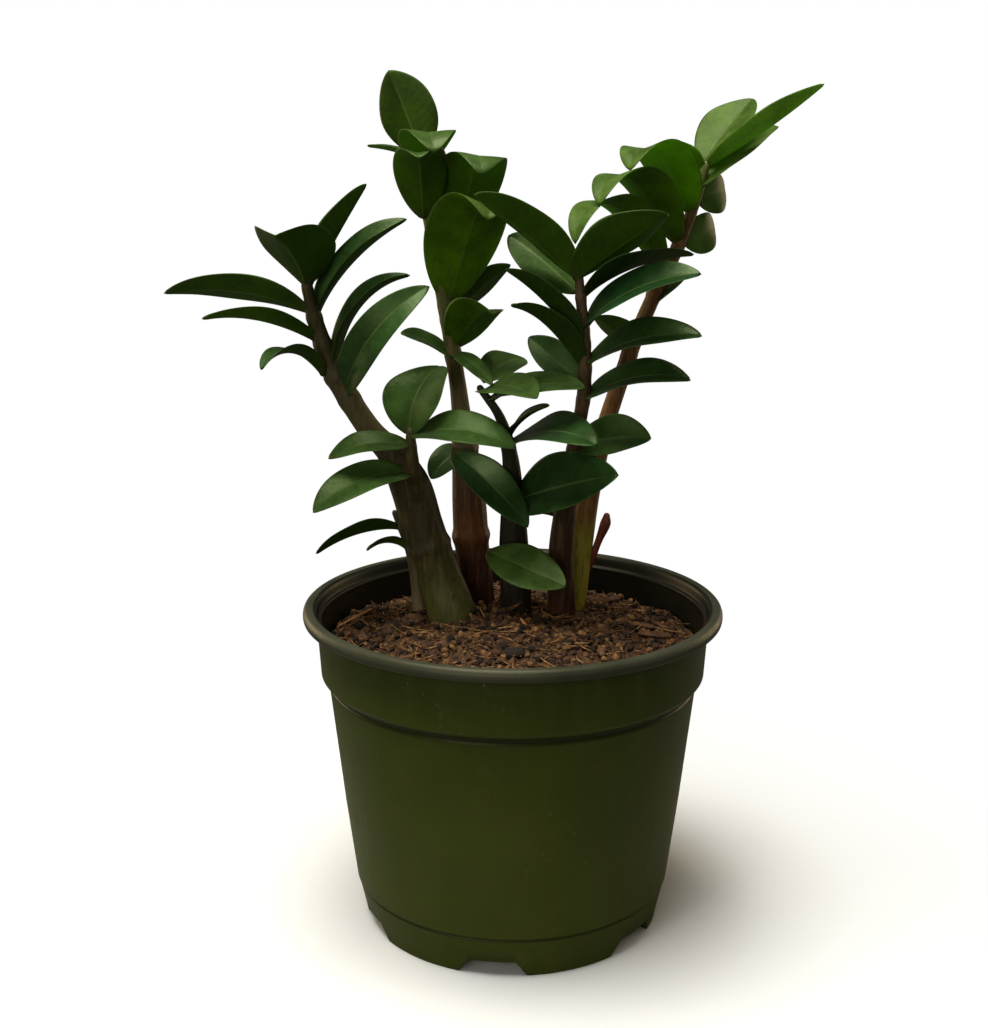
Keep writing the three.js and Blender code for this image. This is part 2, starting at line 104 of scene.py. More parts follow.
def skin(name, points, notes=None):
    """Makes a mesh of a grid of points, row by row: a quad joins each four neighbours, the last
    column joins the first, and points that coincide are merged, which closes poles.
    notes are values for each point, kept as attributes: a number, or three numbers."""
    rows, columns = points.shape[:2]
    i, j = np.meshgrid(np.arange(rows - 1), np.arange(columns), indexing="ij")
    right = (j + 1) % columns
    quads = np.stack([i * columns + j, i * columns + right, (i + 1) * columns + right,
                      (i + 1) * columns + j], -1).reshape(-1, 4)
    mesh = bpy.data.meshes.new(name)
    mesh.vertices.add(rows * columns)
    mesh.vertices.foreach_set("co", in_metres(points).ravel())
    mesh.loops.add(quads.size)
    mesh.loops.foreach_set("vertex_index", quads.ravel())
    mesh.polygons.add(len(quads))
    mesh.polygons.foreach_set("loop_start", np.arange(0, quads.size, 4))
    across, along = np.stack([j, j + 1, j + 1, j], -1) / columns, np.stack([i, i, i + 1, i + 1], -1)
    uv = np.stack([across, along / (rows - 1)], -1)
    mesh.uv_layers.new(name="round_and_along").data.foreach_set("uv", uv.reshape(-1))
    for note, values in (notes or {}).items():
        values = np.broadcast_to(np.asarray(values, float), points.shape[:2] + np.shape(values)[2:])
        kind, field = ("FLOAT", "value") if values.ndim == 2 else ("FLOAT_VECTOR", "vector")
        mesh.attributes.new(note, kind, "POINT").data.foreach_set(field, values.ravel())
    mesh.update(calc_edges=True)
    work = bmesh.new()
    work.from_mesh(mesh)
    bmesh.ops.remove_doubles(work, verts=work.verts, dist=1e-7)
    bmesh.ops.dissolve_degenerate(work, edges=work.edges, dist=1e-8)
    bmesh.ops.recalc_face_normals(work, faces=work.faces)
    work.to_mesh(mesh)
    work.free()
    mesh.shade_smooth()
    return mesh


def put(name, mesh, material, slot, *nodes):
    """Adds a finished piece to the scene, in its material, riding on the one body of the plant."""
    piece = bpy.data.objects.new(name, mesh)
    bpy.context.scene.collection.objects.link(piece)
    mesh.materials.append(material)
    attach(piece, "root")
    if nodes:
        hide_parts(*nodes)
    return piece


def paint(red, green, blue):
    """A colour as a paint chart gives it, 0 to 255, made linear."""
    c = np.array([red, green, blue]) / 255
    linear = np.where(c <= 0.04045, c / 12.92, ((c + 0.055) / 1.055) ** 2.4)
    return (*[float(v) for v in linear], 1.0)


def wire(tree, kind, settings=None, **inputs):
    """Adds a shader node. Each input is a value or another node's output."""
    made = tree.nodes.new("ShaderNode" + kind)
    for name, value in (settings or {}).items():
        setattr(made, name, value)
    for name, value in inputs.items():
        socket = made.inputs[int(name[1:]) if name[1:].isdigit() else name.replace("_", " ")]
        if isinstance(value, bpy.types.NodeSocket):
            tree.links.new(value, socket)
        else:
            socket.default_value = value
    return made


def sums(tree, operation, first, second=0.0):
    """One step of arithmetic on two values."""
    return wire(tree, "Math", {"operation": operation}, _0=first, _1=second).outputs[0]


def blended(tree, share, first, second):
    """The first colour turned into the second by a share from 0 to 1."""
    return wire(tree, "Mix", {"data_type": "RGBA"}, _0=share, _6=first, _7=second).outputs[2]


def eased(tree, value, low, high, start=0.0, end=1.0):
    """value from low to high becomes start to end, held at both ends."""
    return wire(tree, "MapRange", None, Value=value, From_Min=low, From_Max=high, To_Min=start,
                To_Max=end).outputs[0]


def grain(tree, place, scale, detail=3.0, roughness=0.55, stretch=(1, 1, 1)):
    """Cloudy noise, scale per metre, over a place that may be stretched."""
    place = wire(tree, "Mapping", None, Vector=place, Scale=stretch).outputs[0]
    return wire(tree, "TexNoise", None, Vector=place, Scale=scale, Detail=detail,
                Roughness=roughness).outputs[0]


def new_finish(name):
    """A new material, its node tree, its Principled shader and the place on the object in metres."""
    material = bpy.data.materials.new(name)
    material.use_nodes = True
    tree = material.node_tree
    return material, tree, tree.nodes["Principled BSDF"], wire(tree, "TexCoord").outputs["Object"]


def raised(tree, shader, height, distance, strength=1.0):
    """Bumps the surface by a height, distance metres at most."""
    bump = wire(tree, "Bump", None, Height=height, Distance=distance, Strength=strength)
    tree.links.new(bump.outputs[0], shader.inputs["Normal"])


# Heights in metres of the collar crease and the foot crease, where lines of shade are painted.
COLLAR_CREASE, FOOT_CREASE = 0.1002, 0.0166


def pot_plastic():
    """Olive plastic: cloudy tone, faint upright streaks, pale scuffs, dust, painted shade on the collar
    that deepens up to the lip, and a painted line of shade in each crease, whose heights are in
    metres; grey-green lip; black inside."""
    material, tree, shader, place = new_finish("pot_plastic")
    zone = wire(tree, "Attribute", {"attribute_name": "zone"}).outputs["Vector"]
    zone = wire(tree, "SeparateXYZ", None, Vector=zone)
    height = wire(tree, "SeparateXYZ", None, Vector=place).outputs[2]
    cloud = grain(tree, place, 26, 4)
    streak = grain(tree, place, 150, 3, 0.6, (1, 1, 0.05))
    green = blended(tree, eased(tree, cloud, 0.35, 0.65), paint(56, 66, 18), paint(63, 73, 20))
    # Painted shade: the collar darkens from its foot up to the lip, the shadow under the lip.
    green = blended(tree, eased(tree, height, 0.102, 0.126), green, paint(46, 54, 15))
    green = blended(tree, eased(tree, streak, 0.42, 0.7, 0, 0.3), green, paint(64, 72, 32))
    scratch = grain(tree, place, 620, 2, 0.5, (1, 1, 0.8))
    patch = eased(tree, grain(tree, place, 17, 1), 0.56, 0.7)
    scuff = sums(tree, "MULTIPLY", eased(tree, scratch, 0.69, 0.75, 0, 0.4), patch)
    green = blended(tree, scuff, green, paint(128, 134, 92))
    dust = eased(tree, grain(tree, place, 90, 5, 0.7), 0.55, 0.78, 0, 0.3)
    green = blended(tree, dust, green, paint(92, 84, 45))
    # Painted shade: a dark line along the collar crease and a fainter one along the foot crease.
    crease = sums(tree, "ABSOLUTE", sums(tree, "SUBTRACT", height, COLLAR_CREASE))
    green = blended(tree, eased(tree, crease, 0.0006, 0.0026, 0.85, 0), green, paint(12, 15, 5))
    crease = sums(tree, "ABSOLUTE", sums(tree, "SUBTRACT", height, FOOT_CREASE))
    green = blended(tree, eased(tree, crease, 0.0004, 0.0012, 0.6, 0), green, paint(14, 17, 5))
    lip = blended(tree, eased(tree, cloud, 0.3, 0.7), paint(48, 50, 38), paint(66, 66, 52))
    colour = blended(tree, zone.outputs[0], green, lip)
    black = blended(tree, eased(tree, cloud, 0.3, 0.7), paint(12, 13, 9), paint(25, 26, 18))
    colour = blended(tree, zone.outputs[1], colour, black)
    tree.links.new(colour, shader.inputs["Base Color"])
    rough = sums(tree, "ADD", eased(tree, cloud, 0.3, 0.7, 0.36, 0.48), sums(tree, "MULTIPLY", dust, 0.5))
    tree.links.new(rough, shader.inputs["Roughness"])
    shader.inputs["Specular IOR Level"].default_value = 0.24
    shader.inputs["Specular Tint"].default_value = (1, 0.92, 0.6, 1)
    fine = grain(tree, place, 900, 2)
    raised(tree, shader, sums(tree, "ADD", sums(tree, "MULTIPLY", fine, 0.3), streak), 0.00012)
    return material


NOTCH_COUNT, FIRST_NOTCH = 6, 263


def drain_notches():
    """Wedges that cut the foot ring, evenly round it from the first one's angle in degrees: 28 mm
    wide 1 mm under the foot, narrowing to 18 mm at a height of 6.5 mm."""
    across = np.array([[-14, -1], [14, -1], [9, 6.5], [-9, 6.5]], float)
    depth = np.array([50.4, 67.4])
    r, (s, z) = depth[:, None] + across[:, 0] * 0, (across[:, 0] + depth[:, None] * 0, across[:, 1])
    turn = np.radians(FIRST_NOTCH + 360 / NOTCH_COUNT * np.arange(NOTCH_COUNT))[:, None, None]
    x, y = r * np.cos(turn) - s * np.sin(turn), r * np.sin(turn) + s * np.cos(turn)
    corners = in_metres(np.stack([x, y, np.broadcast_to(z, x.shape)], -1))
    faces = [(0, 1, 2, 3), (7, 6, 5, 4), (0, 4, 5, 1), (1, 5, 6, 2), (2, 6, 7, 3), (3, 7, 4, 0)]
    mesh = bpy.data.meshes.new("drain_notches")
    whole = [tuple(k + 8 * n for k in face) for n in range(NOTCH_COUNT) for face in faces]
    mesh.from_pydata(corners.reshape(-1, 3).tolist(), [], whole)
    work = bmesh.new()
    work.from_mesh(mesh)
    bmesh.ops.recalc_face_normals(work, faces=work.faces)
    work.to_mesh(mesh)
    work.free()
    return mesh


# Each corner of the profile is now five points. The grey lip ends at the seventh corner of POT_LIP,
# where its inner slope starts.
POT_SIDES = 216
pot_line = softened(POT_OUTSIDE + POT_LIP + POT_INSIDE)
pot_points = turned(pot_line, POT_SIDES)
step = np.arange(len(pot_line))
lip_start = len(POT_OUTSIDE) * 5 - 5
lip_end = lip_start + 6 * 5 + 4
is_lip = (step >= lip_start) & (step < lip_end)
is_inside = step >= lip_end
pot_zone = np.stack([is_lip, is_inside, is_inside], -1)[:, None].repeat(POT_SIDES, 1)
pot_mesh = skin("nursery_pot_shell", pot_points, {"zone": pot_zone})
pot = put("nursery_pot_shell", pot_mesh, pot_plastic(), "pot_plastic", "nursery_pot")
cutter = bpy.data.objects.new("drain_notches", drain_notches())
bpy.context.scene.collection.objects.link(cutter)
cut = pot.modifiers.new("notches", "BOOLEAN")
cut.object, cut.operation, cut.solver = cutter, "DIFFERENCE", "EXACT"
with bpy.context.temp_override(object=pot, active_object=pot):
    bpy.ops.object.modifier_apply(modifier="notches")
bpy.data.objects.remove(cutter)

# ---------------------------------------------------------------------------------------------
# Potting mix
# Dark damp peat and bark fines that fill the pot to about 14 mm under the lip, a little higher in
# the middle. Crumbs, fibres, bark chips and two pale splinters lie loose on top of it.
# ---------------------------------------------------------------------------------------------
SOIL_RADIUS = 73.6
SOIL_TOP = [(0, 121), (20, 120), (40, 118.3), (60, 116), (SOIL_RADIUS, 114)]


def lumps(x, y, size, seed):
    """Smooth random heights from -1 to 1: seeded random numbers at the corners of squares, size
    apart, joined inside each square by a smoothstep blend."""
    table = np.random.default_rng(seed).uniform(-1, 1, (64, 64))
    i, j = np.floor(x / size).astype(int), np.floor(y / size).astype(int)
    fx, fy = x / size - i, y / size - j
    fx, fy = fx * fx * (3 - 2 * fx), fy * fy * (3 - 2 * fy)
    near = table[i % 64, j % 64] * (1 - fx) + table[(i + 1) % 64, j % 64] * fx
    far = table[i % 64, (j + 1) % 64] * (1 - fx) + table[(i + 1) % 64, (j + 1) % 64] * fx
    return near * (1 - fy) + far * fy


def soil_height(x, y):
    """The mound's height by radius, plus lumps of four sizes that fade out at the wall."""
    r = np.hypot(x, y)
    rough = 1.3 * lumps(x, y, 11, 1) + 1.1 * lumps(x, y, 5, 2) + 0.8 * lumps(x, y, 2.3, 3)
    return np.interp(r, *np.transpose(SOIL_TOP)) + rough + 0.45 * lumps(x, y, 1.1, 4)


def soil_points(around=380, rings=150):
    """Rings from the middle out over the rough top, then down inside the wall and in again."""
    angle = np.linspace(0, 2 * np.pi, around, endpoint=False)
    radius = np.linspace(0, SOIL_RADIUS, rings)[:, None]
    x, y = radius * np.cos(angle), radius * np.sin(angle)
    top = np.stack([x, y, soil_height(x, y)], -1)
    top[0] = top[0].mean(0)
    side = turned([(SOIL_RADIUS, 104), (70.4, 95), (61.5, 17), (57.6, 4.7), (0, 4.7)], around)
    return np.concatenate([top, side])[::-1]


def soil_mix(name, dark, middle, pale, scale=420):
    """Earth: three browns by cloudy noise, each piece shifted by its own tone, dull and grainy."""
    material, tree, shader, place = new_finish(name)
    tone = wire(tree, "Attribute", {"attribute_name": "tone"}).outputs["Fac"]
    mix = sums(tree, "ADD", grain(tree, place, scale, 5, 0.7), tone)
    colour = blended(tree, eased(tree, mix, 0.38, 0.52), dark, middle)
    colour = blended(tree, eased(tree, mix, 0.58, 0.72), colour, pale)
    tree.links.new(colour, shader.inputs["Base Color"])
    shader.inputs["Roughness"].default_value = 0.85
    shader.inputs["Specular IOR Level"].default_value = 0.3
    raised(tree, shader, grain(tree, place, scale * 3, 4, 0.7), 0.0006)
    return material


earth = soil_mix("potting_mix", paint(24, 15, 8), paint(80, 53, 29), paint(140, 102, 60))
soil_mesh = skin("potting_mix", soil_points(), {"tone": 0})
put("potting_mix", soil_mesh, earth, "potting_mix", "potting_soil")


def turned_about(random, count, tilt=np.pi):
    """Random turns as matrices: a spin about Z, then a lean of up to tilt about X, then a spin."""
    a, c = random.uniform(0, 2 * np.pi, (2, count))
    b = random.uniform(-tilt, tilt, count)
    zero, one = np.zeros(count), np.ones(count)
    spin = lambda t: np.stack([np.cos(t), -np.sin(t), zero, np.sin(t), np.cos(t), zero, zero, zero, one])
    lean = np.stack([one, zero, zero, zero, np.cos(b), -np.sin(b), zero, np.sin(b), np.cos(b)])
    first, second, third = (m.T.reshape(count, 3, 3) for m in (spin(a), lean, spin(c)))
    return first @ second @ third


def joined(name, shapes, tones):
    """Many small closed grids as one mesh: shapes is (count, rows, columns, 3), tones (count)."""
    count, rows, columns = shapes.shape[:3]
    i, j = np.meshgrid(np.arange(rows - 1), np.arange(columns), indexing="ij")
    right = (j + 1) % columns
    quad = np.stack([i * columns + j, i * columns + right, (i + 1) * columns + right,
                     (i + 1) * columns + j], -1).reshape(-1, 4)
    quads = (quad[None] + (np.arange(count) * rows * columns)[:, None, None]).reshape(-1, 4)
    mesh = bpy.data.meshes.new(name)
    mesh.vertices.add(count * rows * columns)
    mesh.vertices.foreach_set("co", in_metres(shapes).ravel())
    mesh.loops.add(quads.size)
    mesh.loops.foreach_set("vertex_index", quads.ravel())
    mesh.polygons.add(len(quads))
    mesh.polygons.foreach_set("loop_start", np.arange(0, quads.size, 4))
    note = mesh.attributes.new("tone", "FLOAT", "POINT").data
    note.foreach_set("value", np.repeat(tones, rows * columns))
    mesh.update(calc_edges=True)
    work = bmesh.new()
    work.from_mesh(mesh)
    bmesh.ops.remove_doubles(work, verts=work.verts, dist=1e-8)
    bmesh.ops.dissolve_degenerate(work, edges=work.edges, dist=1e-9)
    bmesh.ops.recalc_face_normals(work, faces=work.faces)
    work.to_mesh(mesh)
    work.free()
    return mesh


def pebbles(random, sizes, rows=5, columns=6):
    """Closed lumps: a ball of rows by columns whose points are pushed in and out at random, then
    stretched to sizes, half widths in millimetres, three for each lump."""
    up = np.linspace(0, np.pi, rows)[:, None]
    round_ = np.linspace(0, 2 * np.pi, columns, endpoint=False)
    ball = np.stack([np.sin(up) * np.cos(round_), np.sin(up) * np.sin(round_),
                     np.cos(up) + 0 * round_], -1)
    push = random.uniform(0.72, 1.25, (len(sizes), rows, columns, 1))
    push[:, [0, -1]] = 1
    return ball * push * sizes[:, None, None]


def scattered(random, count, reach):
    """Places spread evenly over the soil out to a radius: angle even, radius by its square root."""
    r, a = reach * np.sqrt(random.uniform(0, 1, count)), random.uniform(0, 2 * np.pi, count)
    return r * np.cos(a), r * np.sin(a)


random = np.random.default_rng(7)
CRUMBS = 2600
x, y = scattered(random, CRUMBS, 72.5)
size = 0.5 + 1.5 * random.power(0.45, CRUMBS)[:, None] * random.uniform(0.6, 1, (CRUMBS, 3))
crumb = np.einsum("nab,nrcb->nrca", turned_about(random, CRUMBS), pebbles(random, size))
crumb += np.stack([x, y, soil_height(x, y) + 0.35 * size.mean(1)], -1)[:, None, None]
crumb_mesh = joined("soil_crumbs", crumb, random.uniform(-0.22, 0.2, CRUMBS))
put("soil_crumbs", crumb_mesh, earth, "potting_mix")

FIBRES = 620
x, y = scattered(random, FIBRES, 70)
reach, wide = random.uniform(2, 8, FIBRES), random.uniform(0.16, 0.42, FIBRES)
along = np.linspace(-1, 1, 6)
corner = np.linspace(0, 2 * np.pi, 4, endpoint=False)
body = np.sqrt(1 - along**2 * 0.999)[:, None]
bow = random.uniform(-0.35, 0.35, FIBRES)[:, None, None] * reach[:, None, None]
fibre = np.stack([
    reach[:, None, None] * along[:, None] + 0 * corner,
    bow * along[:, None] ** 2 + wide[:, None, None] * body * np.cos(corner),
    np.abs(bow) * 0.3 * along[:, None] ** 2 + wide[:, None, None] * body * np.sin(corner),
], -1)
fibre = np.einsum("nab,nrcb->nrca", turned_about(random, FIBRES, 0.5), fibre)
fibre += np.stack([x, y, soil_height(x, y) + 0.7], -1)[:, None, None]
fibre_stuff = soil_mix("root_fibre", paint(70, 44, 22), paint(118, 82, 45), paint(168, 126, 78), 300)
fibre_mesh = joined("soil_fibres", fibre, random.uniform(-0.2, 0.2, FIBRES))
put("soil_fibres", fibre_mesh, fibre_stuff, "potting_mix")

# Bark chips: middle x, y, half length, half width, half thickness, heading and lean in degrees, tone.
BARK_CHIPS = [
    (-46, 0, 8, 4.5, 1.6, 60, 35, -0.05), (-40, 8, 6, 3.2, 1.2, 40, 20, 0.1),
    (52, 8, 7.5, 4, 1.3, 150, 18, 0.1), (60, 13, 6, 3, 1.2, 120, 25, 0.16),
    (45, 12, 4.5, 2.6, 1.1, 20, 10, 0.05), (57, -6, 7, 3.6, 1.3, 170, 8, 0.02),
    (0, -32, 5.5, 3.5, 2.2, 5, 6, -0.28), (-10, -20, 4, 2.4, 1.2, 70, 10, -0.2),
    (22, -12, 4.4, 2, 1, 130, 14, 0.1), (-26, -22, 4.6, 2.4, 1.1, 20, 14, 0.02),
    (34, -30, 4, 2, 1, 80, 12, 0.08), (-58, -12, 5, 2.6, 1.2, 100, 12, 0.02),
    (14, 48, 6, 3, 1.4, 30, 14, 0.02), (-34, 46, 6, 3.4, 1.4, 110, 16, 0.06),
    (44, 44, 5.4, 2.6, 1.2, 60, 10, 0), (-4, 60, 5, 3, 1.3, 150, 12, 0.04),
]


def bark_chips(random):
    """Flat flakes: pebbles squeezed to the table's half sizes, turned by heading and leaned."""
    chip = np.array(BARK_CHIPS, float)
    shape = pebbles(random, chip[:, [2, 3, 4]], 7, 8)
    heading, lean = np.radians(chip[:, 5]), np.radians(chip[:, 6])
    ca, sa, cb, sb = np.cos(heading), np.sin(heading), np.cos(lean), np.sin(lean)
    turn = np.stack([ca, -sa * cb, sa * sb, sa, ca * cb, -ca * sb, 0 * ca, sb, cb], -1)
    shape = np.einsum("nab,nrcb->nrca", turn.reshape(-1, 3, 3), shape)
    high = soil_height(chip[:, 0], chip[:, 1]) + 0.8
    return shape + np.stack([chip[:, 0], chip[:, 1], high], -1)[:, None, None]


bark = soil_mix("bark_chip", paint(34, 24, 16), paint(86, 58, 36), paint(126, 88, 56), 260)
chip_mesh = joined("bark_chips", bark_chips(random), np.array(BARK_CHIPS)[:, 7])
put("bark_chips", chip_mesh, bark, "potting_mix")

# Two pale splinters: ends x, y, z and half width.
SPLINTERS = [((-71, 4, 117), (-57, 24, 119.5), 0.9), ((3, -2, 123.5), (8, -6, 118), 1.1)]
ends = np.array([[a, b] for a, b, _ in SPLINTERS], float)
share = np.linspace(0, 1, 9)[None, :, None, None]
spine = ends[:, 0][:, None, None] * (1 - share) + ends[:, 1][:, None, None] * share
heading = ends[:, 1] - ends[:, 0]
level = np.cross(heading, [0, 0, 1])
level /= np.linalg.norm(level, axis=1)[:, None]
thick = np.array([w for *_, w in SPLINTERS])[:, None, None, None] * (1 - (2 * share - 1) ** 4) + 0.001
corner = np.linspace(0, 2 * np.pi, 6, endpoint=False)[None, None, :, None]
splinter = spine + thick * (np.cos(corner) * level[:, None, None] + np.sin(corner) * [0, 0, 0.6])
splinter[:, 0], splinter[:, -1] = ends[:, 0][:, None], ends[:, 1][:, None]
wood = soil_mix("pale_splinter", paint(120, 74, 40), paint(168, 112, 66), paint(190, 140, 92), 500)
put("wood_splinters", joined("wood_splinters", splinter, np.array([0.1, 0.1])), wood, "potting_mix")

# ---------------------------------------------------------------------------------------------
# Left frond
# A thick old stalk that leans left and thins sharply half way up, olive and brown with a skin that
# is streaked along its length. Its leaflets are dark and leathery, folded along the midrib.
# ---------------------------------------------------------------------------------------------
LEFT_STALK = [
    (-21, 14, 104, 9), (-24, 14, 118, 10), (-29.5, 16, 135, 8.6), (-36, 16, 155, 8.4),
    (-41, 15, 173, 8), (-48, 12, 187, 5.6), (-57, 10, 198, 4.7), (-69, 7, 219, 4.1),
    (-75, 4, 238, 3), (-78, 0, 254, 1.8),
]
# Leaflets: height of the foot, tip x y z, way the upper face looks x y z, width, bend in degrees and
# how late it comes, fold of each half, step of the foot off the stalk x y z, and age: 0 old, 1 fresh.
LEFT_LEAFLETS = [
    (253, -84.5, -30, 273.5, 0.15, 0.9, 0.8, 35, 40, 1, 33, 0, 0, 0, 0.1),
    (252, -55, 5, 291, -0.8, 0.3, 0.6, 19, 5, 1, 40, 0, 0, 0, 0.1),
    (241, -40, 5, 278, -0.6, -0.4, 0.6, 18, 42, 1, 40, 0, 0, 0, 0.1),
    (219, -39, 5, 257, -0.7, -0.3, 0.6, 15, 75, 1.6, 40, 0, 0, 0, 0.1),
    (209, -31, -8, 254, -0.35, -1, 0.35, 17, 88, 1.5, 20, -1, 0, 1, 0.1),
    (242, -131, -5, 251, 0, 1, 1, 16, 50, 1, 20, 0, 0, 0, 0.1),
    (231, -114, -20, 243, 0, 0.3, 1, 14, 38, 1.5, 35, 0, 0, 0, 0.2),
    (218, -92, -25, 225, 0.2, 0.6, 1, 12, 98, 1.2, 25, -4, -3, 0, 0.1),
]


def along_rows(rows, t):
    """The Catmull-Rom curve through rows of numbers, at places t from 0 to 1 along them. The end
    rows are reflected, so the curve ends straight."""
    rows = np.asarray(rows, float)
    padded = np.vstack([2 * rows[0] - rows[1], rows, 2 * rows[-1] - rows[-2]])
    place = np.clip(t, 0, 1) * (len(rows) - 1)
    i = np.minimum(place.astype(int), len(rows) - 2)
    f = (place - i)[:, None]
    a, b, c, d = (padded[i + k] for k in range(4))
    return b + 0.5 * ((c - a) * f + (2 * a - 5 * b + 4 * c - d) * f**2 + (3 * b - a - 3 * c + d) * f**3)


def foot_on(rows, height):
    """The stalk's row at a height: the first of 200 places along it that reaches the height."""
    line = along_rows(rows, np.linspace(0, 1, 201))
    reached = line[:, 2] >= height
    return line[np.argmax(reached)] if reached.any() else line[-1]


def stalk_points(rows, joints=(), around=40, ridge=0.035, seed=11):
    """Carries a circle along the curve. Its radius swells 9% in a ring at each leaf joint and has
    random ridges that run along the stalk. The foot closes flat in a pole; the top is a dome that
    closes in a pole."""
    t = np.linspace(0, 1, (len(rows) - 1) * 14 + 1)
    line = along_rows(rows, t)
    forward = np.gradient(line[:, :3], axis=0)
    forward /= np.linalg.norm(forward, axis=1)[:, None]
    across = np.cross([0, 1, 0], forward)
    across /= np.linalg.norm(across, axis=1)[:, None]
    other = np.cross(forward, across)
    angle = np.linspace(0, 2 * np.pi, around, endpoint=False)
    height = line[:, 2][:, None]
    swell = sum((0.09 * np.exp(-((height - z) / 1.8) ** 2) for z in joints), np.zeros_like(height))
    ridges = lumps(np.sin(angle) * 30 + 0 * height, height * 0.35 + np.cos(angle) * 30, 7, seed)
    radius = line[:, 3][:, None] * (1 + ridge * ridges + swell)
    ring = np.cos(angle)[:, None] * across[:, None] + np.sin(angle)[:, None] * other[:, None]
    points = line[:, None, :3] + radius[..., None] * ring
    dome = np.radians([25, 50, 75, 90])
    tip = points[-1] - line[-1, :3]
    caps = [line[-1, :3] + tip * np.cos(a) + forward[-1] * line[-1, 3] * np.sin(a) for a in dome]
    return np.concatenate([np.broadcast_to(line[0, :3], (1, around, 3)), points, np.stack(caps)])


def stalk_skin(name, stops, streak_colour, streak_share=0.5):
    """Bark-like skin: colours by height over the foot in millimetres, streaks along the stalk,
    fine dark flecks, and shallow cracks lengthwise."""
    material, tree, shader, place = new_finish(name)
    height = wire(tree, "SeparateXYZ", None, Vector=place).outputs[2]
    wander = grain(tree, place, 60, 2)
    level = sums(tree, "ADD", height, sums(tree, "MULTIPLY", sums(tree, "SUBTRACT", wander, 0.5), 0.02))
    low, high = stops[0][0], stops[-1][0]
    ramp = wire(tree, "ValToRGB", None, Fac=eased(tree, level, low / 1000, high / 1000))
    while len(ramp.color_ramp.elements) < len(stops):
        ramp.color_ramp.elements.new(0.5)
    for element, (at, colour) in zip(ramp.color_ramp.elements, stops):
        element.position = (at - low) / (high - low)
        element.color = colour
    streak = grain(tree, place, 520, 3, 0.6, (1, 1, 0.09))
    colour = blended(tree, eased(tree, streak, 0.5, 0.68, 0, streak_share), ramp.outputs[0], streak_colour)
    dark = grain(tree, place, 760, 4, 0.7, (1, 1, 0.16))
    colour = blended(tree, eased(tree, dark, 0.54, 0.7, 0, 0.65), colour, paint(24, 18, 10))
    tree.links.new(colour, shader.inputs["Base Color"])
    shader.inputs["Roughness"].default_value = 0.5
    shader.inputs["Specular IOR Level"].default_value = 0.25
    raised(tree, shader, sums(tree, "ADD", streak, dark), 0.0005)
    return material


def blade_line(bend, late, steps):
    """The blade's side view: its slope turns by -bend * v**late along it, and the sum of the small
    steps is turned and scaled so that it ends one length out. Returns out and up."""
    fine = 12
    v = (np.arange(steps * fine) + 0.5) / (steps * fine)
    slope = -np.radians(bend) * v**late
    x, y = (np.concatenate([[0], np.cumsum(f(slope))])[::fine] for f in (np.cos, np.sin))
    turn, length = np.arctan2(y[-1], x[-1]), np.hypot(x[-1], y[-1])
    return ((x * np.cos(turn) + y * np.sin(turn)) / length,
            (y * np.cos(turn) - x * np.sin(turn)) / length)


def leaflet_points(stalk, row, seed, along=44, half_count=13):
    """A thick oval blade. At place v along it and u across it, -1 to 1: the centre line leaves the
    stalk and arches to the tip; the half width is v**0.7 * (1 - v)**0.75; each half rises from the
    midrib by the fold; the faces are half a lens apart, with a groove along the upper midrib, a
    keel under it, low ribs between the veins and a slight wave along the margin."""
    row = np.asarray(row, float)
    height, tip, face, (width, bend, late, fold), step = row[0], row[1:4], row[4:7], row[7:11], row[11:14]
    base = foot_on(stalk, height)[:3] + step
    chord = tip - base
    reach = np.linalg.norm(chord)
    chord = chord / reach
    face = face - chord * (face @ chord)
    face = face / np.linalg.norm(face)
    across = np.cross(chord, face)
    out, up = blade_line(bend, late, along)
    slope = np.arctan2(np.gradient(up), np.gradient(out))[:, None]
    v = np.linspace(0, 1, along + 1)[:, None]
    half = width / 2 * 2.73 * v**0.7 * (1 - v) ** 0.75
    count = 2 * half_count
    j = np.arange(2 * count)
    u = np.where(j <= count, 2 * j / count - 1, 3 - 2 * j / count)
    u = np.sign(u) * np.abs(u) ** 0.85
    side = np.where(j < count, 1, -1) * (np.abs(u) < 0.9999)
    random = np.random.default_rng(seed)
    phase, skew = random.uniform(0, 2 * np.pi, 2), random.uniform(-0.05, 0.05)
    wave = 0.05 * half * np.abs(u) ** 3 * np.sin(v * 9 + phase[0] + np.sign(u) * phase[1])
    ribs = 0.06 * np.sin(2 * np.pi * (v * 11 - np.abs(u) * 1.7)) * np.abs(u) * (1 - u**2) * (half / 10)
    groove = -0.45 * np.exp(-((u / 0.07) ** 2)) * (1 - v)
    keel = 0.6 * np.exp(-((u / 0.09) ** 2)) * (1 - v) ** 0.5
    body = 0.5 + 0.7 * np.exp(-v / 0.07)
    body = np.minimum(body, half + 0.02) * (1 - u**2) ** 0.6
    lift = np.where(side > 0, body + groove * (half > 1.5), -body - keel * (half > 1.5)) * (side != 0)
    tilt = np.radians(fold)
    rise = half * np.sin(tilt) * (np.sqrt(u * u + 0.04) - 0.2) + lift + wave + ribs
    normal = face * np.cos(slope)[..., None] - chord * np.sin(slope)[..., None]
    points = (base + chord * (out * reach)[:, None, None] + face * (up * reach)[:, None, None]
              + across * (half * np.cos(tilt) * (u + skew * (1 - u**2)))[..., None]
              + normal * rise[..., None])
    points[0], points[-1] = base, tip
    blade = np.stack(np.broadcast_arrays(u, v, side * 0.5 + 0.5), -1)
    return points, blade


